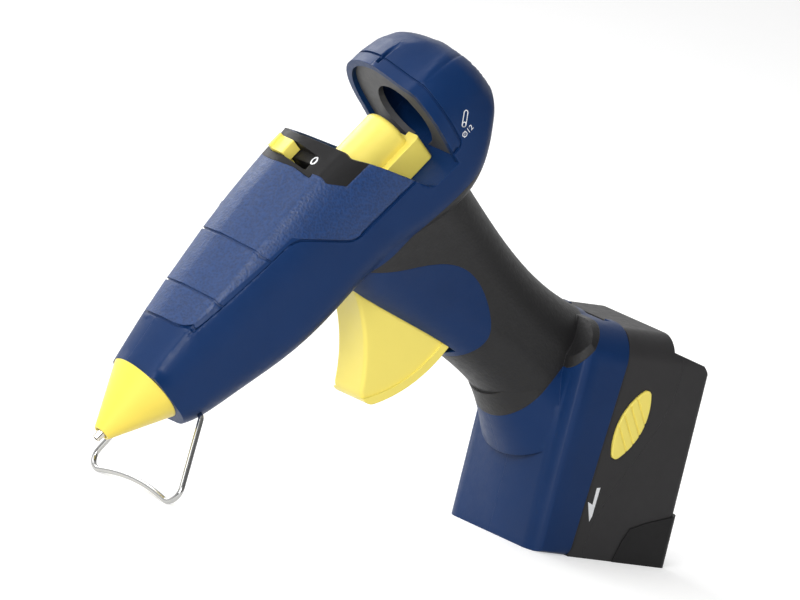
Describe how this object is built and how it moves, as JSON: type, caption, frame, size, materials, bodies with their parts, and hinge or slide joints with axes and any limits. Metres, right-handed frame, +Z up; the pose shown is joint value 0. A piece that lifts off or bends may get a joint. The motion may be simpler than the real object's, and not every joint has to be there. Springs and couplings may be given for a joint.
{
  "type": "cordless glue gun",
  "caption": "Pistol-shaped battery glue gun with a tapering nozzle, a lever trigger, an open feed window, a rubber grip, a slide-on battery and a fold-out wire stand.",
  "frame": {"origin": "centre of the battery's front face, on which the gun stands on the table", "axes": "+Z up from the table, +X away from the nozzle, -Y the left side of the gun; the barrel points down towards -X at 52.5 degrees"},
  "size_m": [0.2537, 0.06, 0.1845],
  "materials": {
    "navy_plastic": "fine matte grain",
    "grip_rubber": "soft matte",
    "black_plastic": "matte",
    "battery_plastic": "fine matte grain",
    "grey_liner": "matte",
    "yellow_plastic": "satin",
    "yellow_silicone": "satin",
    "silicone": "matte",
    "brass_nozzle": "nickel plated",
    "cast_aluminium": "as cast",
    "ceramic_heater": "matte ceramic",
    "bright_wire": "bright nickel",
    "steel": "bright",
    "contact_brass": "bright",
    "cell_wrap": "shrink wrap",
    "board_green": "solder mask"
  },
  "bodies": {
    "gun": {"battery_terminals": "contact_brass", "chamber_mounts": "silicone", "check_spring": "steel", "control_board": "board_green", "heater_plates": "ceramic_heater", "hood_liner": "grey_liner", "housing_screws": "steel", "inlet_sleeve": "silicone", "left_grip_cover": "grip_rubber", "left_housing": "navy_plastic", "melt_chamber": "cast_aluminium", "nozzle_cone": "yellow_silicone", "nozzle_tip": "brass_nozzle", "return_spring": "steel", "right_grip_cover": "grip_rubber", "right_housing": "navy_plastic", "slide_switch": "black_plastic", "stick_guide": "black_plastic", "switch_plate": "black_plastic", "trigger_pin": "steel"},
    "trigger": {"trigger": "yellow_plastic"},
    "carriage": {"feed_carriage": "yellow_plastic", "gripper_pin": "steel"},
    "gripper": {"stick_gripper": "steel"},
    "knob": {"switch_knob": "yellow_plastic"},
    "stand": {"wire_stand": "bright_wire"},
    "ball": {"check_ball": "steel"},
    "battery": {"battery_case_upper": "battery_plastic", "battery_case_lower": "battery_plastic", "battery_foot": "black_plastic", "battery_cells": "cell_wrap", "battery_contacts": "contact_brass", "battery_screws": "steel", "release_springs": "steel"},
    "left_button": {"left_release_button": "yellow_plastic"},
    "right_button": {"right_release_button": "yellow_plastic"}
  },
  "joints": [
    {"name": "trigger_pivot", "type": "hinge", "parent": "gun", "child": "trigger", "pos_m": [-0.13761, 0, 0.09638], "axis": [0, -1, 0], "range_deg": [0, 24], "stiffness_Nm_per_rad": 0.6, "springref_deg": -14.32, "deforming": ["return_spring"]},
    {"name": "carriage_slide", "type": "slide", "parent": "gun", "child": "carriage", "axis": [-0.6088, 0, -0.7934], "range_m": [0, 0.01064]},
    {"name": "gripper_pivot", "type": "hinge", "parent": "carriage", "child": "gripper", "pos_m": [-0.13919, 0, 0.12028], "axis": [0, -1, 0], "range_deg": [0, 8], "stiffness_Nm_per_rad": 0.02, "springref_deg": -17.19},
    {"name": "switch_slide", "type": "slide", "parent": "gun", "child": "knob", "axis": [0, -1, 0], "range_m": [0, 0.012]},
    {"name": "stand_fold", "type": "hinge", "parent": "gun", "child": "stand", "pos_m": [-0.19811, 0, 0.03315], "axis": [0, -1, 0], "range_deg": [0, 140]},
    {"name": "check_ball_lift", "type": "slide", "parent": "gun", "child": "ball", "axis": [-0.6088, 0, -0.7934], "range_m": [0, 0.0015], "stiffness_N_per_m": 300, "springref_m": -0.003, "deforming": ["check_spring"]},
    {"name": "battery_slide", "type": "slide", "parent": "gun", "child": "battery", "axis": [0.0698, 0, 0.9976], "range_m": [0, 0.066]},
    {"name": "left_button_press", "type": "slide", "parent": "battery", "child": "left_button", "axis": [0, 1, 0], "range_m": [0, 0.0025], "stiffness_N_per_m": 800, "springref_m": -0.002, "deforming": ["release_springs"]},
    {"name": "right_button_press", "type": "slide", "parent": "battery", "child": "right_button", "axis": [0, -1, 0], "range_m": [0, 0.0025], "stiffness_N_per_m": 800, "springref_m": -0.002, "deforming": ["release_springs"]}
  ],
  "couplings": [
    {"joint": "carriage_slide", "follows": "trigger_pivot", "m_per_rad": 0.025372}
  ]
}
